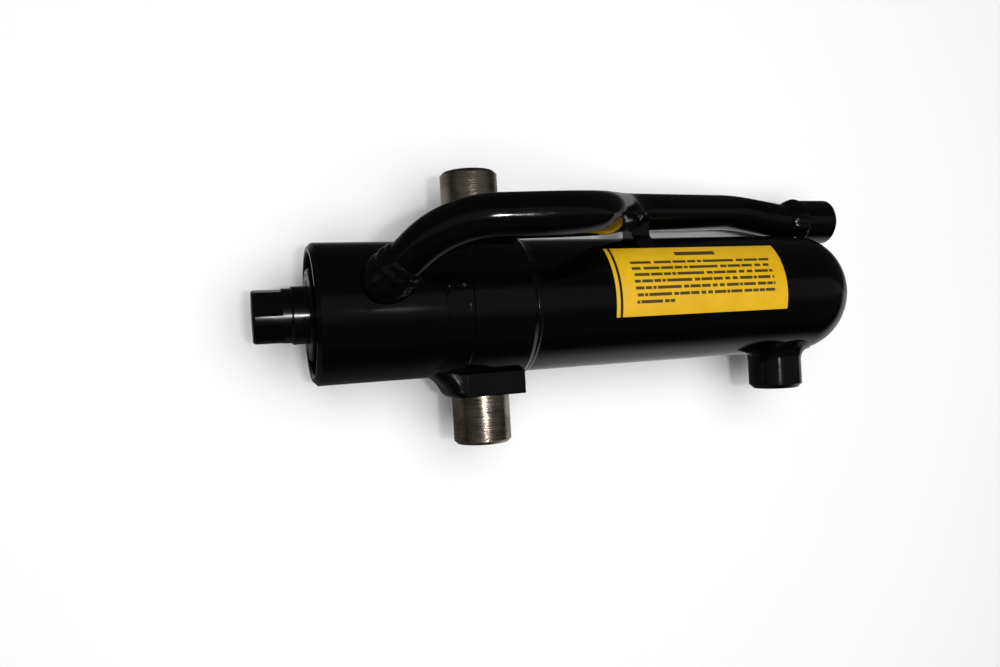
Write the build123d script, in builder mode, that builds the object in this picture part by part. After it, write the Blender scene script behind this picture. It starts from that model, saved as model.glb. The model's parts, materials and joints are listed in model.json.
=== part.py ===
from build123d import *
import os
from math import cos, pi, radians, sin

# Two-stage telescopic hydraulic cylinder, shown closed. All sizes are millimetres.
# X runs along the cylinder: the rod end points to -X and the closed base to +X.
# Y is the trunnion axis, and the origin is where it crosses the cylinder's axis.
# Z points to the side that carries the label and the pipe's crossing.

# Barrel, a 3.5 in tube with a 3 in bore
BARREL_R = 44.45
BORE_R = 38.1
MOUTH_X = -108.0
TUBE_END_X = 255.0
BASE_END_X = 291.5
CAP_FLOOR_X = 266.0
CAP_RECESS_R = 31.0
CAP_SPIGOT = 5.0
MOUTH_CHAMFER = 2.6
SEAT_GAP = 0.05  # radial gap between pieces that seat in each other
RUNNING_GAP = 0.08  # radial gap of a guide ring on what slides in it
SEAL_GAP = 0.15  # radial gap of a seal's lip, whose squeeze is left out
METAL_GAP = 0.4  # radial gap between metal parts that slide past each other
GROOVE_SLACK = 0.2  # a ring is this much shorter than its groove at each end
GROOVE_FLOOR_GAP = 0.1  # and clears the groove's floor by this much
TRIM_START = 34.0  # radius from which welded-on pieces are drawn before the barrel trims them
CUT_OVER = 5.0  # how far a cut runs past what it cuts

# Trunnion: a ring round the barrel, two lug blocks and two 1.5 in pins
RING_FRONT_X = -14.7
RING_REAR_X = 27.2
RING_R = 47.6
RING_BEVEL = 3.0
RING_REAR_R = 45.8
LUG_REACH = 58.0
LUG_HALF_DEPTH = 20.0
LUG_REAR_X = 25.2
LUG_CORNER = 1.0
LUG_EDGE = 0.6
PIN_R = 19.05
PIN_REACH = 89.5
PIN_CHAMFER = 2.0
PIN_SPIGOT_R = 14.0
PIN_SPIGOT_LENGTH = 10.0
TAPER_FRONT_X = -31.0
TAPER_CREST_X = -19.7
TAPER_CREST_R = 47.0
TAPER_REAR_R = 47.2
BEAD_REAR_X = 30.6
LUG_WELD_FOOT_Y = 41.0
LUG_WELD_FOOT = (24.0, 20.0)  # half width along X and half depth along Z where it meets the tube
LUG_WELD_TOP = (9.6, 19.0)  # the same where it ends, level with the block's outer face
LUG_WELD_CORNERS = (9.0, 6.0)  # corner radius at the foot and at the top

# Base port: a weld-on boss for 1 in hose, on the -Y side
BASE_PORT_X = 238.4
BASE_PORT_R = 19.4
BASE_PORT_REACH = 71.7
BASE_THREAD_R = 11.9
BASE_THREAD_DEPTH = 18.0
BASE_DRILL_R = 10.0
PORT_CHAMFER = 3.0
BASE_WELD_FOOT_R = 26.5
BASE_WELD_TOP = 52.0

# Transfer pipe, 3/4 in, from the retract port at the base to the rod end
PIPE_R = 13.35
PIPE_BORE_R = 10.45
ROOT_AT = (-56.9, 25.4, 46.0)  # middle of the pipe's end at the rod end
PIPE_CORNERS = [(-34.1, 48.7, 71.9), (48.9, 48.4, 87.3), (109.7, 61.3, 10.5), (223.0, 66.3, -20.3),
                (264.0, 56.8, -12.0)]
PIPE_BENDS = [58.0, 50.0, 50.0, 60.0, 60.0]
ROOT_BOSS_R = 16.5
ROOT_SOCKET = 3.0
ROOT_DEPTH = 28.0  # how far below the pipe's end the root's shapes start, inside the tube
ROOT_DRILL_R = 6.0
ROOT_WELD_FOOT_R = 22.0
ROOT_WELD_TOP = 2.3
WELD_LIP = 0.3  # how far a fillet weld's top edge stands out from its boss
RETRACT_X = (272.0, 303.5)
RETRACT_Y = 56.8
RETRACT_Z = -12.0
RETRACT_R = 17.2
RETRACT_THREAD_R = 9.1
RETRACT_THREAD_DEPTH = 16.0
RETRACT_DRILL_R = 7.0
RETRACT_SOCKET = 8.0
RETRACT_CHAMFER = 2.0
BRACKET_X = (110.0, 124.0)
BRACKET_Z = (6.0, 19.0)
BRACKET_TOP_Y = 60.0
BRACKET_FLARE_Y = 44.0
BRACKET_FLARE = 10.0

# Head gland in the barrel's mouth
GLAND_FRONT_X = -102.0
GLAND_REAR_X = -74.0
SNAP_RING = 2.5
SNAP_RING_DEPTH = 1.5
SNAP_RING_GAP = 12.0
MOUTH_LEAD = 1.2  # chamfer inside the mouth, which the gland is pushed in past
# Grooves are (start X, end X, depth)
HEAD_WIPER = (-102.0, -97.0, 4.0)
HEAD_SEAL = (-93.0, -87.0, 4.0)
HEAD_GUIDE = (-85.0, -77.0, 2.0)
HEAD_O_RING = (-93.0, -89.0, 3.0)

# First stage: a double-walled sleeve with a piston at its rear
STAGE_R = 28.575
STAGE_BORE_R = 25.4
STAGE_FRONT_X = -109.0
STAGE_REAR_X = 218.0
LINER_R = 24.6
LINER_BORE_R = 22.25
LINER_NOTCH = (4.0, 5.0)  # depth and width of the oil notches in the liner's front end
STAGE_GLAND_LENGTH = 30.0
PISTON_FRONT_X = 190.0
PISTON_REAR_X = 222.0
PISTON_NOSE_R = 27.0
PISTON_NOSE_X = 265.0
PISTON_PORT_R = 12.0
STOP_TUBE_R = 33.0
STOP_TUBE_LENGTH = 24.0
CROSS_HOLE_R = 2.5
CROSS_HOLE_X = 160.0
NOSE_SLOT = (8.0, 9.0)  # depth and width of the oil slot across the piston's nose
STAGE_WIPER = (-109.0, -104.0, 3.2)
STAGE_SEAL = (-101.0, -95.0, 3.6)
STAGE_GUIDE = (-92.0, -84.0, 2.0)
STAGE_O_RING = (-99.0, -96.0, 1.8)
STAGE_PISTON_FRONT_WEAR = (193.0, 199.0, 2.5)
STAGE_PISTON_SEAL = (202.0, 208.0, 5.0)
STAGE_PISTON_REAR_WEAR = (211.0, 217.0, 2.5)

# Second stage: the plunger rod with its own piston
ROD_R = 18.0
ROD_TIP_R = 16.9
ROD_TIP_X = -142.0
ROD_TIP_LENGTH = 22.5
FLATS_LENGTH = 17.5
FLATS_ACROSS = 31.4
ROD_THREAD_R = 8.75
ROD_THREAD_DEPTH = 32.0
ROD_SEAT_X = 176.0
ROD_SPIGOT_R = 12.0
ROD_PISTON_LENGTH = 20.0
ROD_END_X = 214.0
NUT_ACROSS = 36.0
NUT_LENGTH = 14.0
FLATS_TURN = 40.0  # degrees that the flats are turned about the rod
ROD_EDGE = 1.5  # chamfer on the rod's ends
ROD_PISTON_SEAL = (179.0, 185.0, 4.0)
ROD_PISTON_WEAR = (188.0, 194.0, 2.0)

# Label on the tube
LABEL_X = (81.5, 217.5)
LABEL_ANGLES = (40.5, 106.0)
LABEL_THICKNESS = 0.25


def band(x_start, x_end, r_inner, r_outer, mode=Mode.ADD):
    """Add or cut a plain ring round the cylinder's axis."""
    with BuildSketch(Plane.XY) as profile:
        with Locations(((x_start + x_end) / 2, (r_inner + r_outer) / 2)):
            Rectangle(x_end - x_start, r_outer - r_inner)
    revolve(profile.sketch, axis=Axis.X, mode=mode)


def turned(points, mode=Mode.ADD):
    """Add or cut what is turned about the cylinder's axis from (x, radius) points."""
    with BuildSketch(Plane.XY) as profile:
        with BuildLine():
            Polyline(*points, close=True)
        make_face()
    revolve(profile.sketch, axis=Axis.X, mode=mode)


def post(plane, r, height, r_top=None, mode=Mode.ADD):
    """Add or cut a round post, or a cone if r_top is given, standing on a plane."""
    with BuildSketch(plane) as foot:
        Circle(r)
    if r_top is None:
        extrude(foot.sketch, amount=height, mode=mode)
        return
    with BuildSketch(plane.offset(height)) as top:
        Circle(r_top)
    loft([foot.sketch, top.sketch], mode=mode)


def cap_outline():
    """Add the solid outer shape of the barrel with its domed base."""
    dome_r = BASE_END_X - TUBE_END_X
    middle = dome_r * sin(radians(45))
    with BuildSketch(Plane.XY) as profile:
        with BuildLine():
            Polyline((BASE_END_X, BARREL_R - dome_r), (BASE_END_X, 0), (MOUTH_X, 0),
                     (MOUTH_X, BARREL_R), (TUBE_END_X, BARREL_R))
            ThreePointArc((TUBE_END_X, BARREL_R),
                          (TUBE_END_X + middle, BARREL_R - dome_r + middle),
                          (BASE_END_X, BARREL_R - dome_r))
        make_face()
    revolve(profile.sketch, axis=Axis.X)


pieces = {}


def keep(builder, name):
    """Label a finished piece and list it for writing."""
    builder.part.label = name
    pieces[name] = builder.part


def plain_ring(name, x_start, x_end, r_inner, r_outer):
    """Make one plain ring, such as a seal or a guide ring."""
    with BuildPart() as ring:
        band(x_start, x_end, r_inner, r_outer)
    keep(ring, name)


def bore_groove(groove, r_wall):
    """Cut one ring groove outwards from a bore's wall."""
    start, end, depth = groove
    band(start, end, r_wall - 1, r_wall + depth, mode=Mode.SUBTRACT)


def rim_groove(groove, r_wall):
    """Cut one ring groove inwards from an outer wall."""
    start, end, depth = groove
    band(start, end, r_wall - depth, r_wall + 1, mode=Mode.SUBTRACT)


def bore_ring(name, groove, r_wall, r_inner):
    """Make the ring that lies in a bore's groove and reaches in to r_inner."""
    start, end, depth = groove
    plain_ring(name, start + GROOVE_SLACK, end - GROOVE_SLACK, r_inner,
               r_wall + depth - GROOVE_FLOOR_GAP)


def rim_ring(name, groove, r_wall, r_outer):
    """Make the ring that lies in an outer groove and reaches out to r_outer."""
    start, end, depth = groove
    plain_ring(name, start + GROOVE_SLACK, end - GROOVE_SLACK,
               r_wall - depth + GROOVE_FLOOR_GAP, r_outer)


def o_ring(name, groove, r_wall):
    """Make the O-ring that lies in an outer groove, just below the wall."""
    start, end, depth = groove
    r_section = (depth - GROOVE_FLOOR_GAP) / 2
    with BuildPart() as ring:
        with BuildSketch(Plane.XY) as section:
            with Locations(((start + end) / 2, r_wall - SEAT_GAP - r_section)):
                Circle(r_section)
        revolve(section.sketch, axis=Axis.X)
    keep(ring, name)


# Reference planes: base port along -Y, leaning pipe root, retract port along +X
base_plane = Plane(origin=(BASE_PORT_X, 0, 0), x_dir=(1, 0, 0), z_dir=(0, -1, 0))
root_direction = (Vector(*PIPE_CORNERS[0]) - Vector(*ROOT_AT)).normalized()
root_plane = Plane(origin=ROOT_AT, z_dir=root_direction)
root_foot = root_plane.offset(-ROOT_DEPTH)
retract_plane = Plane(origin=(RETRACT_X[0], RETRACT_Y, RETRACT_Z), x_dir=(0, 1, 0), z_dir=(1, 0, 0))

# Solid outer shape of the tube and base, used to trim what is welded to it
with BuildPart() as barrel_envelope:
    cap_outline()

# ---------------------------------------------------------------- barrel and base
with BuildPart() as barrel_tube:
    turned([(MOUTH_X, BORE_R + MOUTH_LEAD), (MOUTH_X, BARREL_R - MOUTH_CHAMFER),
            (MOUTH_X + MOUTH_CHAMFER, BARREL_R), (TUBE_END_X, BARREL_R),
            (TUBE_END_X, BORE_R), (MOUTH_X + MOUTH_LEAD, BORE_R)])
    bore_groove((GLAND_FRONT_X - SNAP_RING, GLAND_FRONT_X, SNAP_RING_DEPTH), BORE_R)
    post(base_plane, BASE_DRILL_R, BARREL_R + CUT_OVER, mode=Mode.SUBTRACT)
    post(root_foot, ROOT_DRILL_R, ROOT_DEPTH, mode=Mode.SUBTRACT)
keep(barrel_tube, "barrel_tube")

with BuildPart() as base_cap:
    cap_outline()
    band(MOUTH_X - 1, TUBE_END_X - CAP_SPIGOT, 0, BARREL_R + 1, mode=Mode.SUBTRACT)
    band(TUBE_END_X - CAP_SPIGOT - 1, TUBE_END_X, BORE_R - SEAT_GAP, BARREL_R + 1, mode=Mode.SUBTRACT)
    band(TUBE_END_X - CAP_SPIGOT - 1, CAP_FLOOR_X, 0, CAP_RECESS_R, mode=Mode.SUBTRACT)
keep(base_cap, "base_cap")

# ---------------------------------------------------------------- trunnion
with BuildPart() as trunnion_ring:
    with Locations(((RING_FRONT_X + LUG_REAR_X) / 2, 0, 0)):
        Box(LUG_REAR_X - RING_FRONT_X, 2 * LUG_REACH, 2 * LUG_HALF_DEPTH)
    fillet(trunnion_ring.edges().filter_by(Axis.X), radius=LUG_CORNER)
    fillet(trunnion_ring.edges().filter_by(Axis.Z), radius=LUG_EDGE)
    turned([(RING_FRONT_X, 0), (RING_FRONT_X, RING_R), (RING_REAR_X - RING_BEVEL, RING_R),
            (RING_REAR_X, RING_REAR_R), (RING_REAR_X, 0)])
    band(RING_FRONT_X - 1, RING_REAR_X + 1, 0, BARREL_R + SEAT_GAP, mode=Mode.SUBTRACT)
    for side in (-1, 1):
        seat = Plane(origin=(0, side * (LUG_REACH - PIN_SPIGOT_LENGTH), 0), z_dir=(0, side, 0))
        post(seat, PIN_SPIGOT_R + SEAT_GAP, PIN_SPIGOT_LENGTH + CUT_OVER, mode=Mode.SUBTRACT)
keep(trunnion_ring, "trunnion_ring")


def trunnion_pin(side, name):
    """Make one turned pin with the spigot that seats in its lug block."""
    seat = Plane(origin=(0, side * (LUG_REACH - PIN_SPIGOT_LENGTH), 0), z_dir=(0, side, 0))
    shoulder = Plane(origin=(0, side * LUG_REACH, 0), z_dir=(0, side, 0))
    with BuildPart() as pin:
        post(shoulder, PIN_R, PIN_REACH - LUG_REACH)
        chamfer(pin.faces().sort_by(Axis.Y)[-1 if side > 0 else 0].edges(), length=PIN_CHAMFER)
        post(seat, PIN_SPIGOT_R, PIN_SPIGOT_LENGTH)
    keep(pin, name)


trunnion_pin(1, "trunnion_pin_upper")
trunnion_pin(-1, "trunnion_pin_lower")

with BuildPart() as trunnion_front_weld:
    turned([(TAPER_FRONT_X, BARREL_R + SEAT_GAP), (RING_FRONT_X, BARREL_R + SEAT_GAP),
            (RING_FRONT_X, TAPER_REAR_R), (TAPER_CREST_X, TAPER_CREST_R)])
keep(trunnion_front_weld, "trunnion_front_weld")

with BuildPart() as trunnion_rear_weld:
    turned([(RING_REAR_X, BARREL_R + SEAT_GAP), (BEAD_REAR_X, BARREL_R + SEAT_GAP),
            (RING_REAR_X, RING_REAR_R)])
keep(trunnion_rear_weld, "trunnion_rear_weld")


def lug_weld(side, name):
    """Make the heavy weld between one lug block's front face and the tube."""
    with BuildPart() as weld:
        for reach, half, corner in zip((LUG_WELD_FOOT_Y, LUG_REACH),
                                       (LUG_WELD_FOOT, LUG_WELD_TOP), LUG_WELD_CORNERS):
            level = Plane(origin=(RING_FRONT_X, side * reach, 0), x_dir=(1, 0, 0), z_dir=(0, side, 0))
            with BuildSketch(level):
                RectangleRounded(2 * half[0], 2 * half[1], radius=corner)
        loft()
        add(barrel_envelope.part, mode=Mode.SUBTRACT)
        band(TAPER_FRONT_X, RING_FRONT_X, BARREL_R - 1, RING_R, mode=Mode.SUBTRACT)
        with Locations((RING_FRONT_X + RING_R, side * RING_R, 0)):
            Box(2 * RING_R, 2 * RING_R, 2 * RING_R, mode=Mode.SUBTRACT)
    keep(weld, name)


lug_weld(1, "lug_weld_upper")
lug_weld(-1, "lug_weld_lower")

# ---------------------------------------------------------------- base port
with BuildPart() as base_port_boss:
    post(base_plane.offset(TRIM_START), BASE_PORT_R, BASE_PORT_REACH - TRIM_START)
    chamfer(base_port_boss.faces().sort_by(Axis.Y)[0].edges(), length=PORT_CHAMFER)
    add(barrel_envelope.part, mode=Mode.SUBTRACT)
    post(base_plane, BASE_DRILL_R, BASE_PORT_REACH, mode=Mode.SUBTRACT)
    post(base_plane.offset(BASE_PORT_REACH - BASE_THREAD_DEPTH), BASE_THREAD_R,
         BASE_THREAD_DEPTH + CUT_OVER, mode=Mode.SUBTRACT)
keep(base_port_boss, "base_port_boss")

with BuildPart() as base_port_weld:
    post(base_plane.offset(TRIM_START), BASE_WELD_FOOT_R, BASE_WELD_TOP - TRIM_START,
         r_top=BASE_PORT_R + WELD_LIP)
    add(barrel_envelope.part, mode=Mode.SUBTRACT)
    post(base_plane, BASE_PORT_R + SEAT_GAP, BASE_PORT_REACH, mode=Mode.SUBTRACT)
keep(base_port_weld, "base_port_weld")

# ---------------------------------------------------------------- transfer pipe
with BuildPart() as pipe_root_boss:
    post(root_foot, ROOT_BOSS_R, ROOT_DEPTH + ROOT_SOCKET)
    add(barrel_envelope.part, mode=Mode.SUBTRACT)
    post(root_foot, PIPE_BORE_R, ROOT_DEPTH + CUT_OVER, mode=Mode.SUBTRACT)
    post(root_plane, PIPE_R + SEAT_GAP, ROOT_SOCKET + CUT_OVER, mode=Mode.SUBTRACT)
keep(pipe_root_boss, "pipe_root_boss")

with BuildPart() as pipe_root_weld:
    post(root_foot, ROOT_WELD_FOOT_R, ROOT_DEPTH + ROOT_WELD_TOP, r_top=ROOT_BOSS_R + WELD_LIP)
    add(barrel_envelope.part, mode=Mode.SUBTRACT)
    post(root_foot, ROOT_BOSS_R + SEAT_GAP, ROOT_DEPTH + ROOT_WELD_TOP + CUT_OVER, mode=Mode.SUBTRACT)
keep(pipe_root_weld, "pipe_root_weld")

# The pipe rises from its boss in one long bend, arches over the trunnion pin, drops back
# beside the tube and dips into the retract port's boss.
with BuildLine() as pipe_route:
    FilletPolyline(ROOT_AT, *PIPE_CORNERS, (RETRACT_X[0] + RETRACT_SOCKET, RETRACT_Y, RETRACT_Z),
                   radius=PIPE_BENDS)

with BuildPart() as pipe_envelope:
    with BuildSketch(Plane(origin=pipe_route.line @ 0, z_dir=pipe_route.line % 0)):
        Circle(PIPE_R + SEAT_GAP)
    sweep(path=pipe_route.line)

with BuildPart() as transfer_pipe:
    with BuildSketch(Plane(origin=pipe_route.line @ 0, z_dir=pipe_route.line % 0)):
        Circle(PIPE_R)
        Circle(PIPE_BORE_R, mode=Mode.SUBTRACT)
    sweep(path=pipe_route.line)
keep(transfer_pipe, "transfer_pipe")

with BuildPart() as pipe_bracket:
    with BuildSketch(Plane.YZ.offset(BRACKET_X[0])):
        with BuildLine():
            Polyline((TRIM_START, BRACKET_Z[0]), (TRIM_START, BRACKET_Z[1] + BRACKET_FLARE),
                     (BRACKET_FLARE_Y, BRACKET_Z[1]), (BRACKET_TOP_Y, BRACKET_Z[1]),
                     (BRACKET_TOP_Y, BRACKET_Z[0]), close=True)
        make_face()
    extrude(amount=BRACKET_X[1] - BRACKET_X[0])
    add(barrel_envelope.part, mode=Mode.SUBTRACT)
    add(pipe_envelope.part, mode=Mode.SUBTRACT)
keep(pipe_bracket, "pipe_bracket")

with BuildPart() as retract_port_boss:
    post(retract_plane, RETRACT_R, RETRACT_X[1] - RETRACT_X[0])
    chamfer(retract_port_boss.faces().sort_by(Axis.X)[-1].edges(), length=RETRACT_CHAMFER)
    add(barrel_envelope.part, mode=Mode.SUBTRACT)
    post(retract_plane, RETRACT_DRILL_R, RETRACT_X[1] - RETRACT_X[0], mode=Mode.SUBTRACT)
    post(retract_plane, PIPE_R + SEAT_GAP, RETRACT_SOCKET, mode=Mode.SUBTRACT)
    thread_start = RETRACT_X[1] - RETRACT_X[0] - RETRACT_THREAD_DEPTH
    post(retract_plane.offset(thread_start), RETRACT_THREAD_R, RETRACT_THREAD_DEPTH + CUT_OVER,
         mode=Mode.SUBTRACT)
keep(retract_port_boss, "retract_port_boss")

with BuildPart() as label:
    with BuildSketch(Plane.XY.rotated((LABEL_ANGLES[0], 0, 0))) as label_section:
        with Locations((sum(LABEL_X) / 2, BARREL_R + SEAT_GAP + LABEL_THICKNESS / 2)):
            Rectangle(LABEL_X[1] - LABEL_X[0], LABEL_THICKNESS)
    revolve(axis=Axis.X, revolution_arc=LABEL_ANGLES[1] - LABEL_ANGLES[0])
keep(label, "label")

# ---------------------------------------------------------------- head gland
gland_bore_r = STAGE_R + METAL_GAP
gland_r = BORE_R - SEAT_GAP
with BuildPart() as head_gland:
    band(GLAND_FRONT_X, GLAND_REAR_X, gland_bore_r, gland_r)
    for groove in (HEAD_WIPER, HEAD_SEAL, HEAD_GUIDE):
        bore_groove(groove, gland_bore_r)
    rim_groove(HEAD_O_RING, gland_r)
keep(head_gland, "head_gland")
bore_ring("head_wiper", HEAD_WIPER, gland_bore_r, STAGE_R + SEAL_GAP)
bore_ring("head_rod_seal", HEAD_SEAL, gland_bore_r, STAGE_R + SEAL_GAP)
bore_ring("head_guide_ring", HEAD_GUIDE, gland_bore_r, STAGE_R + RUNNING_GAP)
o_ring("head_o_ring", HEAD_O_RING, gland_r)

with BuildPart() as head_snap_ring:
    band(GLAND_FRONT_X - SNAP_RING + GROOVE_SLACK, GLAND_FRONT_X - GROOVE_SLACK,
         BORE_R - 2 * SNAP_RING_DEPTH, BORE_R + SNAP_RING_DEPTH - GROOVE_FLOOR_GAP)
    with Locations((GLAND_FRONT_X - SNAP_RING / 2, 0, -BORE_R)):
        Box(2 * SNAP_RING, SNAP_RING_GAP, SNAP_RING_GAP, mode=Mode.SUBTRACT)
keep(head_snap_ring, "head_snap_ring")

# ---------------------------------------------------------------- first stage
stage_gland_rear_x = STAGE_FRONT_X + STAGE_GLAND_LENGTH
with BuildPart() as stage_tube:
    band(STAGE_FRONT_X, STAGE_REAR_X, STAGE_BORE_R, STAGE_R)
    chamfer(stage_tube.edges().group_by(Axis.X)[0].sort_by(SortBy.LENGTH)[-1], length=1)
    for angle in (0, 90, 180, 270):
        radial = Vector(0, cos(radians(angle)), sin(radians(angle)))
        post(Plane(origin=(CROSS_HOLE_X, 0, 0), z_dir=radial), CROSS_HOLE_R, STAGE_R + CUT_OVER,
             mode=Mode.SUBTRACT)
keep(stage_tube, "stage_tube")

with BuildPart() as stage_liner:
    band(stage_gland_rear_x + SEAT_GAP, STAGE_REAR_X, LINER_BORE_R, LINER_R)
    for angle in (0, 60, 120):
        with Locations(Location((stage_gland_rear_x, 0, 0), (angle, 0, 0))):
            Box(2 * LINER_NOTCH[0], 2 * STAGE_R, LINER_NOTCH[1], mode=Mode.SUBTRACT)
keep(stage_liner, "stage_liner")

stage_gland_r = STAGE_BORE_R - SEAT_GAP
stage_gland_bore_r = ROD_R + METAL_GAP
with BuildPart() as stage_gland:
    band(STAGE_FRONT_X, stage_gland_rear_x, stage_gland_bore_r, stage_gland_r)
    chamfer(stage_gland.edges().group_by(Axis.X)[0].sort_by(SortBy.LENGTH)[-1], length=0.8)
    for groove in (STAGE_WIPER, STAGE_SEAL, STAGE_GUIDE):
        bore_groove(groove, stage_gland_bore_r)
    rim_groove(STAGE_O_RING, stage_gland_r)
keep(stage_gland, "stage_gland")
bore_ring("stage_wiper", STAGE_WIPER, stage_gland_bore_r, ROD_R + SEAL_GAP)
bore_ring("stage_rod_seal", STAGE_SEAL, stage_gland_bore_r, ROD_R + SEAL_GAP)
bore_ring("stage_guide_ring", STAGE_GUIDE, stage_gland_bore_r, ROD_R + RUNNING_GAP)
o_ring("stage_o_ring", STAGE_O_RING, stage_gland_r)

piston_r = BORE_R - METAL_GAP
with BuildPart() as stage_piston:
    band(PISTON_FRONT_X, PISTON_REAR_X, STAGE_R + SEAT_GAP, piston_r)
    band(STAGE_REAR_X, PISTON_REAR_X, 0, STAGE_R + 1)
    band(PISTON_REAR_X - 1, PISTON_NOSE_X, 0, PISTON_NOSE_R)
    band(STAGE_REAR_X - 1, PISTON_NOSE_X + 1, 0, PISTON_PORT_R, mode=Mode.SUBTRACT)
    with Locations((PISTON_NOSE_X, 0, 0)):
        Box(2 * NOSE_SLOT[0], 2 * BORE_R, NOSE_SLOT[1], mode=Mode.SUBTRACT)
    for groove in (STAGE_PISTON_FRONT_WEAR, STAGE_PISTON_SEAL, STAGE_PISTON_REAR_WEAR):
        rim_groove(groove, piston_r)
keep(stage_piston, "stage_piston")
rim_ring("stage_piston_front_wear_ring", STAGE_PISTON_FRONT_WEAR, piston_r, BORE_R - RUNNING_GAP)
rim_ring("stage_piston_seal", STAGE_PISTON_SEAL, piston_r, BORE_R - SEAL_GAP)
rim_ring("stage_piston_rear_wear_ring", STAGE_PISTON_REAR_WEAR, piston_r, BORE_R - RUNNING_GAP)
plain_ring("stage_stop_tube", PISTON_FRONT_X - STOP_TUBE_LENGTH, PISTON_FRONT_X,
           STAGE_R + SEAT_GAP, STOP_TUBE_R)

# ---------------------------------------------------------------- second stage
with BuildPart() as plunger_rod:
    turned([(ROD_TIP_X, 0), (ROD_TIP_X, ROD_TIP_R - ROD_EDGE), (ROD_TIP_X + ROD_EDGE, ROD_TIP_R),
            (ROD_TIP_X + ROD_TIP_LENGTH, ROD_TIP_R),
            (ROD_TIP_X + ROD_TIP_LENGTH + ROD_R - ROD_TIP_R, ROD_R),
            (ROD_SEAT_X, ROD_R), (ROD_SEAT_X, ROD_SPIGOT_R), (ROD_END_X - ROD_EDGE, ROD_SPIGOT_R),
            (ROD_END_X, ROD_SPIGOT_R - ROD_EDGE), (ROD_END_X, 0)])
    with BuildSketch(Plane.YZ.offset(ROD_TIP_X)) as flats:
        Circle(ROD_TIP_R + CUT_OVER)
        RegularPolygon(FLATS_ACROSS / 2, side_count=6, major_radius=False, rotation=FLATS_TURN,
                       mode=Mode.SUBTRACT)
    extrude(flats.sketch, amount=FLATS_LENGTH, mode=Mode.SUBTRACT)
    thread = Plane(origin=(ROD_TIP_X, 0, 0), z_dir=(1, 0, 0))
    post(thread, ROD_THREAD_R, ROD_THREAD_DEPTH, mode=Mode.SUBTRACT)
    post(thread, ROD_THREAD_R + ROD_EDGE, ROD_EDGE, r_top=ROD_THREAD_R, mode=Mode.SUBTRACT)
keep(plunger_rod, "plunger_rod")

rod_piston_r = LINER_BORE_R - METAL_GAP
rod_piston_rear_x = ROD_SEAT_X + ROD_PISTON_LENGTH
with BuildPart() as rod_piston:
    band(ROD_SEAT_X, rod_piston_rear_x, ROD_SPIGOT_R + SEAT_GAP, rod_piston_r)
    for groove in (ROD_PISTON_SEAL, ROD_PISTON_WEAR):
        rim_groove(groove, rod_piston_r)
keep(rod_piston, "rod_piston")
rim_ring("rod_piston_seal", ROD_PISTON_SEAL, rod_piston_r, LINER_BORE_R - SEAL_GAP)
rim_ring("rod_piston_wear_ring", ROD_PISTON_WEAR, rod_piston_r, LINER_BORE_R - RUNNING_GAP)

with BuildPart() as rod_piston_nut:
    with BuildSketch(Plane.YZ.offset(rod_piston_rear_x)):
        RegularPolygon(NUT_ACROSS / 2, side_count=6, major_radius=False)
        Circle(ROD_SPIGOT_R + SEAT_GAP, mode=Mode.SUBTRACT)
    extrude(amount=NUT_LENGTH)
keep(rod_piston_nut, "rod_piston_nut")

# ---------------------------------------------------------------- write the pieces
os.makedirs("parts", exist_ok=True)
for name, piece in pieces.items():
    export_step(piece, f"parts/{name}.step")
print(len(pieces), "pieces written")
pipe_length = sum(edge.length for edge in pipe_route.edges())
pipe_section = pi * (PIPE_R**2 - PIPE_BORE_R**2)
print("pipe length", round(pipe_length, 1))
print("pipe volume over section times length",
      round(transfer_pipe.part.volume / (pipe_section * pipe_length), 4))
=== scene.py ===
import json
import math

import bmesh
import bpy
from mathutils import Matrix, Vector, noise


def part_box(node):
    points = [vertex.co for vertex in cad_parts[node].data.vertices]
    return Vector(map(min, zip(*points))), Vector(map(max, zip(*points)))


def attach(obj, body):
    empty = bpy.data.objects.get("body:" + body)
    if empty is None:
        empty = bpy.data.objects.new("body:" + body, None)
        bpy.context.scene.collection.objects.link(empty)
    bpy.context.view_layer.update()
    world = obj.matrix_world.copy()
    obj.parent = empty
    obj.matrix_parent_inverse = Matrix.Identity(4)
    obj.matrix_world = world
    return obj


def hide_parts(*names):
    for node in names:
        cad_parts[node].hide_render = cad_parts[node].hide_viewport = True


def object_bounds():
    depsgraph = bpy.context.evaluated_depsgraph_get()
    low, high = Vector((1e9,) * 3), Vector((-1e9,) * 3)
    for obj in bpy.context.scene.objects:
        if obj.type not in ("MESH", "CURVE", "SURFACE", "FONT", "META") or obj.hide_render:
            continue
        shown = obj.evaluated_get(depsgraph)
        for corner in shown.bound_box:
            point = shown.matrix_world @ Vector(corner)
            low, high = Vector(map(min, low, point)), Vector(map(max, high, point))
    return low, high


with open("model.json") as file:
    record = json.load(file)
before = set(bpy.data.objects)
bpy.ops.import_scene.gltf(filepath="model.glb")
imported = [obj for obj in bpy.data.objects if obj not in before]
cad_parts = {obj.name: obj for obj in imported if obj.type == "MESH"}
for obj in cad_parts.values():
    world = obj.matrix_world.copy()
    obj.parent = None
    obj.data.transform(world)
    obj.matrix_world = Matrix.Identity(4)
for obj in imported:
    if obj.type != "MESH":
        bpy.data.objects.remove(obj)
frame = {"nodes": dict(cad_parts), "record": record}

cad_low, cad_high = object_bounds()
nodes = frame["nodes"]
scene = bpy.context.scene

MM = 0.001


# ------------------------------------------------------------------ camera
LENS_MM = 27.35
SENSOR_MM = 36
CAMERA_PLACE = Vector((-0.1533, -0.0171, 0.4829))
CAMERA_RIGHT = Vector((0.9419, -0.0571, 0.3309))
CAMERA_BACK = Vector((-0.3313, 0.0024, 0.9435))

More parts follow.
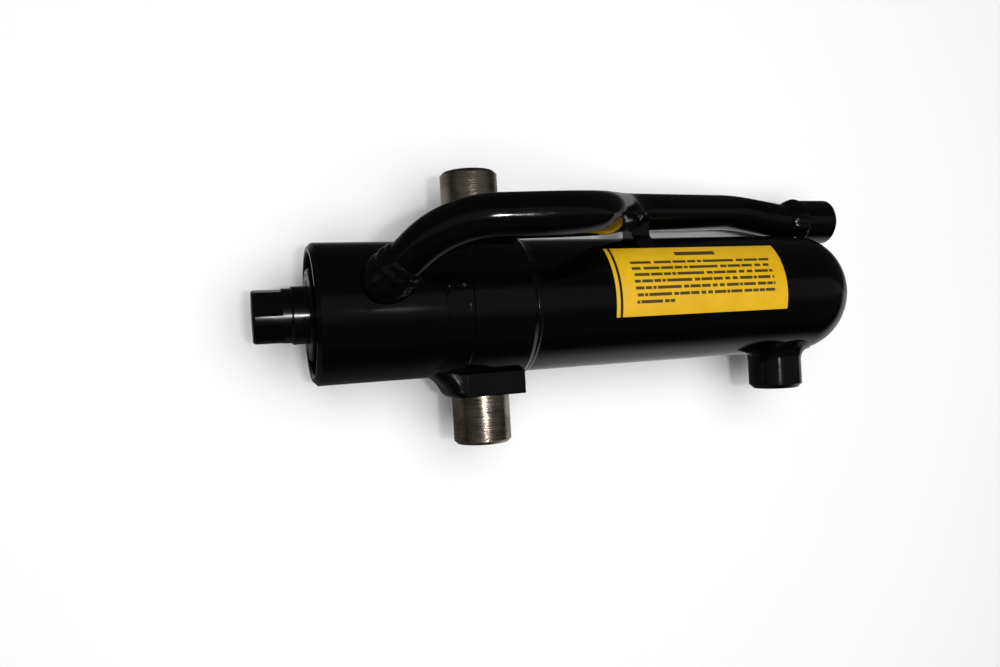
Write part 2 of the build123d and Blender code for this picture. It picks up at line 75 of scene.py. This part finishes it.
back = CAMERA_BACK.normalized()
up = back.cross(CAMERA_RIGHT).normalized()
right = up.cross(back).normalized()
camera = bpy.data.objects.new("camera", bpy.data.cameras.new("camera"))
camera.data.lens = LENS_MM
camera.data.sensor_width = SENSOR_MM
camera.data.clip_start = 0.01
camera.matrix_world = Matrix.Translation(CAMERA_PLACE) @ Matrix((right, up, back)).transposed().to_4x4()
scene.collection.objects.link(camera)
scene.camera = camera


# ------------------------------------------------------------------ materials
class Nodes:
    """A small helper that adds nodes to one tree."""

    def __init__(self, tree):
        self.tree = tree

    def add(self, kind, **values):
        node = self.tree.nodes.new(kind)
        for key, value in values.items():
            setattr(node, key, value)
        return node

    def link(self, out, into):
        self.tree.links.new(out, into)

    def put(self, socket, value):
        """Link a socket to a value's output, or set it to a constant."""
        if isinstance(value, bpy.types.NodeSocket):
            self.link(value, socket)
        else:
            socket.default_value = value

    def math(self, operation, a, b=0.0, c=0.0):
        node = self.add("ShaderNodeMath", operation=operation)
        for socket, value in zip(node.inputs, (a, b, c)):
            self.put(socket, value)
        return node.outputs[0]

    def ramp(self, value, low, high, to_low=0.0, to_high=1.0):
        node = self.add("ShaderNodeMapRange", interpolation_type="SMOOTHSTEP")
        for socket, number in zip(node.inputs, (value, low, high, to_low, to_high)):
            self.put(socket, number)
        return node.outputs[0]

    def blend(self, factor, a, b):
        node = self.add("ShaderNodeMix", data_type="RGBA")
        self.put(node.inputs[0], factor)
        for socket, colour in ((node.inputs[6], a), (node.inputs[7], b)):
            self.put(socket, colour if isinstance(colour, bpy.types.NodeSocket) else (*colour, 1))
        return node.outputs[2]

    def place(self, stretch=(1, 1, 1)):
        """The surface point in metres, stretched."""
        coords = self.add("ShaderNodeTexCoord")
        mapping = self.add("ShaderNodeMapping")
        self.link(coords.outputs["Object"], mapping.inputs["Vector"])
        mapping.inputs["Scale"].default_value = stretch
        return mapping.outputs[0]

    def noise(self, place, scale, detail=3.0, roughness=0.5):
        node = self.add("ShaderNodeTexNoise")
        self.link(place, node.inputs["Vector"])
        node.inputs["Scale"].default_value = scale
        node.inputs["Detail"].default_value = detail
        node.inputs["Roughness"].default_value = roughness
        return node.outputs["Fac"]

    def bump(self, height, distance, strength=1.0, normal=None):
        node = self.add("ShaderNodeBump")
        self.put(node.inputs["Height"], height)
        node.inputs["Distance"].default_value = distance
        node.inputs["Strength"].default_value = strength
        if normal is not None:
            self.link(normal, node.inputs["Normal"])
        return node.outputs[0]


def material(name, **constants):
    """A new material, its node helper and its shader with constants set on the sockets."""
    made = bpy.data.materials.new(name)
    made.use_nodes = True
    shader = made.node_tree.nodes["Principled BSDF"]
    for key, value in constants.items():
        socket = shader.inputs[key.replace("_", " ")]
        socket.default_value = (*value, 1) if isinstance(value, tuple) else value
    return made, Nodes(made.node_tree), shader


TUBE_DULLNESS = 0.03  # the tube is rougher by this much than what is welded on it
TUBE_EDGE_R = (0.0450, 0.0480)  # the radii between which that fades out
DUST_TONE = (0.02, 0.019, 0.018)


def paint(name, black, peel, rough, weld=0.0):
    """Gloss black enamel with orange peel, thin dust and, on welds, fine ripples.

    The peel and the weld ripples are depths in millimetres, and rough is the lowest and highest roughness.
    """
    made, n, shader = material(name, Metallic=0.0, IOR=1.5)
    here = n.place()
    dust = n.ramp(n.noise(here, 700, 2.0), 0.76, 0.84)
    cloud = n.noise(here, 26, 4.0)
    tone = n.blend(n.ramp(cloud, 0.3, 0.7), black, tuple(1.6 * v for v in black))
    n.link(n.blend(n.math("MULTIPLY", dust, 0.5), tone, DUST_TONE), shader.inputs["Base Color"])
    smudge = n.ramp(n.noise(here, 60, 5.0, 0.6), 0.35, 0.75, rough[0], rough[1])
    split = n.add("ShaderNodeSeparateXYZ")
    n.link(here, split.inputs[0])
    square = n.math("MULTIPLY_ADD", split.outputs[1], split.outputs[1],
                    n.math("MULTIPLY", split.outputs[2], split.outputs[2]))
    dull = n.ramp(n.math("SQRT", square), *TUBE_EDGE_R, TUBE_DULLNESS, 0.0)
    smudge = n.math("ADD", smudge, dull)
    n.link(n.math("MULTIPLY_ADD", dust, 0.3, smudge), shader.inputs["Roughness"])
    normal = n.bump(n.noise(here, 420, 1.0), peel * MM)
    if weld:
        normal = n.bump(n.noise(here, 190, 4.0, 0.6), weld * MM, 1.0, normal)
    n.link(normal, shader.inputs["Normal"])
    return made


def turned_steel(name, colours, axis, rough, groove):
    """Bare steel with tool marks that run round the given axis (0 = X, 1 = Y)."""
    made, n, shader = material(name, Metallic=1.0, Anisotropic=0.4)
    squeeze = [0.06, 0.06, 0.06]
    squeeze[axis] = 1.0
    marks = n.noise(n.place(tuple(squeeze)), 1500, 3.0, 0.7)
    wide_marks = n.noise(n.place(tuple(squeeze)), 260, 2.0)
    stain = n.noise(n.place(), 70, 4.0, 0.6)
    tone = n.blend(n.ramp(stain, 0.35, 0.7), colours[0], colours[1])
    tone = n.blend(n.ramp(marks, 0.35, 0.75, 0.0, 0.55), tone, colours[2])
    n.link(n.blend(n.ramp(wide_marks, 0.5, 0.72, 0.0, 0.5), tone, colours[1]), shader.inputs["Base Color"])
    n.link(n.ramp(marks, 0.3, 0.7, rough[0], rough[1]), shader.inputs["Roughness"])
    n.link(n.bump(marks, groove * MM), shader.inputs["Normal"])
    return made


def moulded(name, colour, rough, scale, depth, metallic=0.0):
    """Rubber, polyurethane or filled strip with a fine mottled surface."""
    made, n, shader = material(name, Metallic=metallic)
    grain = n.noise(n.place(), scale, 4.0, 0.6)
    n.link(n.blend(grain, colour, tuple(1.7 * v for v in colour)), shader.inputs["Base Color"])
    n.link(n.ramp(grain, 0.3, 0.7, rough[0], rough[1]), shader.inputs["Roughness"])
    n.link(n.bump(grain, depth * MM), shader.inputs["Normal"])
    return made


LABEL_R = 0.0447
LABEL_TOP_ANGLE = 40.5  # where the label starts, in degrees round the tube from +Y
LABEL_STRIP = (0.0004, 0.0031)  # the thin strip's two edges, in metres from the label's rod end
LABEL_PANEL_FROM = 0.0050  # where the main panel starts
LABEL_YELLOWS = ((0.60, 0.345, 0.005), (0.66, 0.39, 0.008))
LABEL_BLACK = (0.006, 0.006, 0.006)
LABEL_INK = (0.012, 0.011, 0.010)
BAR_PITCH = 4.6
# Plain bars, as (top, bottom, left, right) in millimetres from the label's corner, then the scale of
# the gaps that break a bar into dashes (0 = no gaps)
LABEL_BARS = [(5.0, 8.4, 52, 84, 0)] + [
    (12.9 + BAR_PITCH * line, 15.0 + BAR_PITCH * line, 15, 126 if line < 6 else 44, 260 + 23 * line)
    for line in range(7)
]


def printed_film(name):
    """Yellow film with a black margin and plain grey bars in place of all print."""
    made, n, shader = material(name, Coat_Weight=0.35, Coat_Roughness=0.12)
    low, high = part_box("label")
    split = n.add("ShaderNodeSeparateXYZ")
    n.link(n.place(), split.inputs[0])
    x, y, z = split.outputs
    across = n.math("MULTIPLY", n.math("ARCTAN2", z, y), LABEL_R)

    def inside(value, start, end, soft=0.00012):
        first = n.ramp(value, start - soft, start + soft)
        return n.math("MULTIPLY", first, n.ramp(value, end + soft, end - soft))

    top = math.radians(LABEL_TOP_ANGLE) * LABEL_R
    panel = inside(x, low.x + LABEL_PANEL_FROM, high.x)
    strip = inside(x, low.x + LABEL_STRIP[0], low.x + LABEL_STRIP[1])
    yellow = n.math("MAXIMUM", panel, strip)
    ink = None
    for bar_top, bar_bottom, bar_left, bar_right, gap_scale in LABEL_BARS:
        line = inside(across, top + bar_top * MM, top + bar_bottom * MM)
        span = inside(x, low.x + bar_left * MM, low.x + bar_right * MM)
        bar = n.math("MULTIPLY", line, span)
        if gap_scale:
            gaps = n.noise(n.place((1, 0, 0)), gap_scale, 0.0)
            bar = n.math("MULTIPLY", bar, n.ramp(gaps, 0.36, 0.42))
        ink = bar if ink is None else n.math("MAXIMUM", ink, bar)
    fade = n.noise(n.place(), 45, 4.0, 0.6)
    film = n.blend(n.ramp(fade, 0.3, 0.75), *LABEL_YELLOWS)
    film = n.blend(n.math("MULTIPLY", ink, 0.93), film, LABEL_INK)
    n.link(n.blend(yellow, LABEL_BLACK, film), shader.inputs["Base Color"])
    n.link(n.ramp(fade, 0.3, 0.7, 0.32, 0.45), shader.inputs["Roughness"])
    n.link(n.bump(n.noise(n.place(), 300, 2.0), 0.012 * MM), shader.inputs["Normal"])
    return made


black_paint = paint("gloss_black_paint", (0.0007, 0.0007, 0.0008), peel=0.010, rough=(0.08, 0.18))
weld_paint = paint("painted_weld", (0.0009, 0.0009, 0.0009), peel=0.012, rough=(0.08, 0.22), weld=0.05)
rod_paint = paint("rod_finish", (0.0010, 0.0010, 0.0010), peel=0.006, rough=(0.12, 0.24))
pin_steel = turned_steel("turned_steel", ((0.46, 0.39, 0.31), (0.20, 0.16, 0.12), (0.66, 0.59, 0.50)),
                         axis=1, rough=(0.16, 0.30), groove=0.07)
cut_steel = turned_steel("machined_steel", ((0.5, 0.5, 0.5), (0.36, 0.36, 0.36), (0.65, 0.65, 0.66)),
                         axis=0, rough=(0.2, 0.38), groove=0.02)
polymer = moulded("seal_polymer", (0.035, 0.045, 0.08), rough=(0.35, 0.5), scale=500, depth=0.02)
nitrile = moulded("nitrile", (0.012, 0.012, 0.012), rough=(0.45, 0.65), scale=800, depth=0.02)
bronze = moulded("guide_bronze", (0.34, 0.22, 0.1), rough=(0.4, 0.6), scale=900, depth=0.015, metallic=0.3)
film = printed_film("yellow_label")

FINISHES = {
    "gloss_black_paint": black_paint, "painted_weld": weld_paint, "turned_steel": pin_steel,
    "machined_steel": cut_steel, "rod_finish": rod_paint, "seal_polymer": polymer,
    "nitrile": nitrile, "guide_bronze": bronze, "yellow_label": film,
}

for part in frame["record"]["subparts"]:
    slots = nodes[part["node"]].data.materials
    slots.clear()
    slots.append(FINISHES[part["material_slot"]])


# ------------------------------------------------------------------ weld meshes, in millimetres
BARREL_R = 44.45
RING_FRONT_X = -14.7  # the front face of the band and its lug blocks
# The middle of the pipe's root, and the way the pipe leans as it leaves
ROOT_AT = Vector((-56.9, 25.4, 46.0))
ROOT_AXIS = Vector((22.8, 23.3, 25.9))
FRONT_TAPER = [
    (-31.4, 44.2), (-30.9, 44.75), (-30.2, 45.15), (-29.0, 45.45), (-26.5, 45.85), (-23.5, 46.3),
    (-21.3, 46.65), (-20.0, 46.98), (-19.0, 47.2), (-17.6, 47.32), (-16.0, 47.36), (-14.4, 47.3),
]
REAR_BEAD = [(30.8, 44.2), (30.3, 44.8), (29.5, 45.3), (28.5, 45.65), (27.6, 45.85), (27.0, 45.8)]
RETRACT_BEAD = [
    (262.5, 13.2), (263.6, 14.2), (265.5, 15.4), (268.0, 16.6), (270.5, 17.5),
    (272.5, 18.0), (274.5, 17.9), (276.0, 17.5), (277.0, 17.0),
]


def wobble(*place):
    """Smooth repeatable noise, about -1 to 1."""
    return noise.noise(Vector(place))


def tube_of_sections(name, sections, closed, *standing_for, body="barrel"):
    """Join equal rings of points (in millimetres) into a watertight mesh that replaces CAD nodes."""
    count = len(sections[0])
    verts = [Vector(p) * MM for section in sections for p in section]
    faces = []
    for i in range(len(sections) if closed else len(sections) - 1):
        a, b = i * count, (i + 1) % len(sections) * count
        for k in range(count):
            j = (k + 1) % count
            faces.append((a + k, a + j, b + j, b + k))
    if not closed:
        faces.append(tuple(range(count))[::-1])
        faces.append(tuple(range(len(verts) - count, len(verts))))
    mesh = bpy.data.meshes.new(name)
    mesh.from_pydata(verts, [], faces)
    mesh.validate()
    made = bpy.data.objects.new(name, mesh)
    scene.collection.objects.link(made)
    bm = bmesh.new()
    bm.from_mesh(mesh)
    bmesh.ops.recalc_face_normals(bm, faces=bm.faces)
    bm.to_mesh(mesh)
    bm.free()
    mesh.polygons.foreach_set("use_smooth", [True] * len(mesh.polygons))
    mesh.materials.append(weld_paint)
    if standing_for:
        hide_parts(*standing_for)
    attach(made, body)
    return made


def bezier(points, t):
    """The point at share t along the cubic curve of four (radius, height) points."""
    weights = ((1 - t) ** 3, 3 * t * (1 - t) ** 2, 3 * t * t * (1 - t), t ** 3)
    return tuple(sum(w * p[axis] for w, p in zip(weights, points)) for axis in (0, 1))


def ring_weld(name, standing_for, profile, ripple, pitch, seed, centre=(0, 0)):
    """A bead turned about an axis along X, from (x, radius) points that run from its foot to its top.

    The pitch is the distance between its ripples, and the centre is the axis's Y and Z.
    """
    steps = 420
    top_x = profile[-1][0]
    run = abs(top_x - profile[0][0])
    foot_r = profile[0][1]
    mid_y, mid_z = centre
    sections = []
    for i in range(steps):
        turn = 2 * math.pi * i / steps
        cy, cz = math.cos(turn), math.sin(turn)
        lap = math.cos(2 * math.pi * (turn * foot_r / pitch + 0.35 * wobble(cy * 3, cz * 3, seed)))
        wander = 0.35 * wobble(cy * 5, cz * 5, seed + 5)
        section = []
        for x, r in profile:
            share = abs(top_x - x) / run
            swell = math.sin(math.pi * min(1.0, 1.15 * share))
            r += ripple * swell * (0.5 * lap + wobble(x * 0.2, cy * 6, cz * 6 + seed))
            section.append((x + wander * share, mid_y + r * cy, mid_z + r * cz))
        for x in (top_x, profile[0][0]):
            section.append((x, mid_y + (foot_r - 0.3) * cy, mid_z + (foot_r - 0.3) * cz))
        sections.append(section)
    return tube_of_sections(name, sections, True, *standing_for)


def boss_weld(name, standing_for, middle, axis, boss_r, leg, top_height, swell, ripple, passes, seed):
    """A fillet bead where a round boss or pipe, which may lean, meets the tube.

    The middle is a point on the boss's axis, the leg is how far the bead reaches along the tube, and
    top_height gives the height of its top from that of the tube beside the boss. The swell is how far
    the two inner controls of its section stand out and up, as shares of its leg and its rise.
    """
    middle, axis = Vector(middle), Vector(axis).normalized()
    first = (Vector((1, 0, 0)) - axis * axis.x).normalized()
    second = axis.cross(first)
    steps, across = 240, 16
    sections = []
    for i in range(steps):
        turn = 2 * math.pi * i / steps
        c, s = math.cos(turn), math.sin(turn)
        outward = first * c + second * s

        def surface(radius):
            """Height along the axis at which a line beside it leaves the tube."""
            start, rate = (middle + radius * outward).yz, axis.yz
            dot, square = start.dot(rate), rate.length_squared
            return (math.sqrt(dot ** 2 - square * (start.length_squared - BARREL_R ** 2)) - dot) / square

        def spot(radius, height):
            return middle + outward * radius + axis * height

        reach = leg * (1 + 0.10 * wobble(c * 1.8, s * 1.8, seed + 3))
        base = surface(boss_r)
        lift = top_height(base) - base + 0.5 * wobble(c * 2.2, s * 2.2, seed + 6)
        foot = (boss_r + reach, surface(boss_r + reach) - 0.1)
        low = (boss_r + swell[0] * reach, base + swell[1] * lift)
        high = (boss_r + swell[2] * reach, base + swell[3] * lift)
        top = (boss_r - 0.1, base + lift)
        section = []
        for k in range(across):
            t = k / (across - 1)
            radius, height = bezier((foot, low, high, top), t)
            beads = math.cos(2 * math.pi * (passes * t + 0.12 * wobble(c * 3, s * 3, seed)))
            lumps = wobble(c * 5, s * 5, t * 3 + seed)
            push = math.sin(math.pi * t) * ripple * (lumps - 0.8 * beads * (passes > 1))
            section.append(spot(radius + 0.7 * push, height + 0.6 * push))
        section.append(spot(boss_r - 0.6, base + 0.5 * lift))
        section.append(spot(boss_r - 0.6, base - 1.0))
        section.append(spot(boss_r + 0.6 * reach, surface(boss_r + 0.6 * reach) - 1.0))
        sections.append(section)
    return tube_of_sections(name, sections, True, *standing_for)


def lug_weld(name, node, side, seed):
    """The heavy lump between a lug block's front face and the tube.

    It's built level by level away from the tube, and each level is half a rounded rectangle.
    """
    levels, around = 30, 48
    foot_y, top_y = 39.2, 58.0
    flare_from_y = 41.0
    top_half, foot_half = 9.4, 24.0
    squareness = 0.62
    sections = []
    for i in range(levels):
        v = i / (levels - 1)
        reach = foot_y + (top_y - foot_y) * v
        flare = min(1.0, max(0.0, 1 - (reach - flare_from_y) / (top_y - flare_from_y)))
        half = top_half + (foot_half - top_half) * flare ** 1.8
        depth = 20.0 - 0.5 * flare
        rounding = max(0.0, (v - 0.82) / 0.18) ** 2
        half -= 2.6 * rounding
        depth -= 1.6 * rounding
        section = []
        for k in range(around + 1):
            turn = math.pi * (k / around - 0.5)
            c, s = math.cos(turn), math.sin(turn)
            x = -half * abs(c) ** squareness
            z = depth * math.copysign(abs(s) ** squareness, s)
            lump = 0.8 * wobble(x * 0.10, reach * 0.12, z * 0.09 + seed)
            section.append((RING_FRONT_X + x * (1 - 0.06 * lump), side * reach, z + 0.3 * lump * s))
        section.append((RING_FRONT_X + 0.6, side * reach, section[-1][2]))
        section.append((RING_FRONT_X + 0.6, side * reach, section[0][2]))
        sections.append(section)
    return tube_of_sections(name, sections, False, node)


front_weld = ring_weld("front_band_weld", ["trunnion_front_weld"], FRONT_TAPER,
                       ripple=0.10, pitch=7.5, seed=3)
ring_weld("rear_band_weld", ["trunnion_rear_weld"], REAR_BEAD, ripple=0.16, pitch=3.2, seed=17)
boss_weld("base_port_bead", ["base_port_weld"], middle=(238.4, 0, 0), axis=(0, -1, 0), boss_r=19.4,
          leg=7.4, top_height=lambda foot: foot + 8.4, swell=(0.42, 0.02, 0.06, 0.34),
          ripple=0.22, passes=1, seed=23)
boss_weld("pipe_root_bead", ["pipe_root_weld", "pipe_root_boss"], middle=ROOT_AT, axis=ROOT_AXIS,
          boss_r=13.35, leg=2.8, top_height=lambda foot: max(5.0, foot + 4.0),
          swell=(1.1, 0.60, 0.60, 0.78), ripple=0.6, passes=3, seed=31)
ring_weld("retract_bead", [], RETRACT_BEAD, ripple=1.1, pitch=13.0, seed=71, centre=(56.8, -12.0))
lug_weld("lower_lug_weld", "lug_weld_lower", side=-1, seed=43)
lug_weld("upper_lug_weld", "lug_weld_upper", side=1, seed=57)


# ------------------------------------------------------------------ floor, light and surroundings
FLOOR_Z = cad_low.z
FLOOR_HALF = 4
FLOOR_CORNERS = [(FLOOR_HALF * x, FLOOR_HALF * y, FLOOR_Z) for x, y in ((-1, -1), (1, -1), (1, 1), (-1, 1))]
floor_mesh = bpy.data.meshes.new("floor")
floor_mesh.from_pydata(FLOOR_CORNERS, [], [(0, 1, 2, 3)])
floor = bpy.data.objects.new("floor", floor_mesh)
scene.collection.objects.link(floor)
pale, pale_nodes, pale_shader = material("pale_floor", Roughness=0.9)
pale_nodes.link(pale_nodes.blend(pale_nodes.noise(pale_nodes.place(), 6, 2.0), (0.86, 0.86, 0.86),
                                 (0.88, 0.88, 0.88)), pale_shader.inputs["Base Color"])
floor_mesh.materials.append(pale)
floor.visible_glossy = False


def softbox(name, place, size, watts, glossy=True, skips=()):
    """A rectangular lamp that faces straight down and doesn't light the objects that it skips."""
    light = bpy.data.lights.new(name, "AREA")
    light.shape = "RECTANGLE"
    light.size, light.size_y = size
    light.energy = watts
    lamp = bpy.data.objects.new(name, light)
    lamp.location = place
    lamp.visible_glossy = glossy
    lamp.visible_camera = False
    scene.collection.objects.link(lamp)
    if skips:
        skipped = bpy.data.collections.new(name + "_skips")
        lamp.light_linking.receiver_collection = skipped
        for skip in skips:
            skipped.objects.link(skip)
        for entry in skipped.collection_objects:
            entry.light_linking.link_state = "EXCLUDE"


softbox("ceiling", (0.1, 0.1, 1.9), (2.4, 2.4), watts=54, glossy=False)
# The small lamp brightens the pins, and leaves no bright spot on the tube
softbox("small_lamp", (-0.06, -0.05, 1.0), (0.08, 0.05), watts=2.2,
        skips=[nodes["barrel_tube"], front_weld])
softbox("faint_lamp", (0.14, 0.0, 1.0), (0.04, 0.03), watts=0.03)

BACKDROP = 0.96  # how bright the surroundings look where the camera sees them
world = bpy.data.worlds.new("studio")
scene.world = world
world.use_nodes = True
w = Nodes(world.node_tree)
background = world.node_tree.nodes["Background"]
direction = w.add("ShaderNodeSeparateXYZ")
w.link(w.add("ShaderNodeTexCoord").outputs["Generated"], direction.inputs[0])
dx, dy, dz = direction.outputs
lean = w.math("ARCTAN2", dy, dz)
# The lean is the angle from straight up towards +Y, in radians. Overhead there is a soft strip, both
# sides of it are dim, and low down the pale surroundings are bright, mostly towards the base.
strip = w.math("MULTIPLY", w.ramp(lean, -0.40, -0.08), w.ramp(lean, 0.47, 0.41))
sides = w.math("MULTIPLY", w.ramp(lean, -1.17, -0.95, 0.15, 1.0), 0.03)
low_side = w.math("MULTIPLY", w.ramp(lean, -1.45, -2.05, 0.0, 0.5), w.ramp(dx, 0.22, 0.45, 0.12, 1.0))
far_side = w.ramp(lean, 2.4, 3.0, 0.0, 0.3)
glow = w.math("ADD", w.math("MULTIPLY_ADD", strip, 0.09, sides), w.math("ADD", low_side, far_side))
path = w.add("ShaderNodeLightPath")
shown = w.add("ShaderNodeMix", data_type="FLOAT")
w.link(path.outputs["Is Camera Ray"], shown.inputs[0])
w.link(glow, shown.inputs[2])
shown.inputs[3].default_value = BACKDROP
w.link(shown.outputs[0], background.inputs["Strength"])
background.inputs["Color"].default_value = (1, 1, 1, 1)

scene.view_settings.view_transform = "Standard"
scene.view_settings.look = "None"
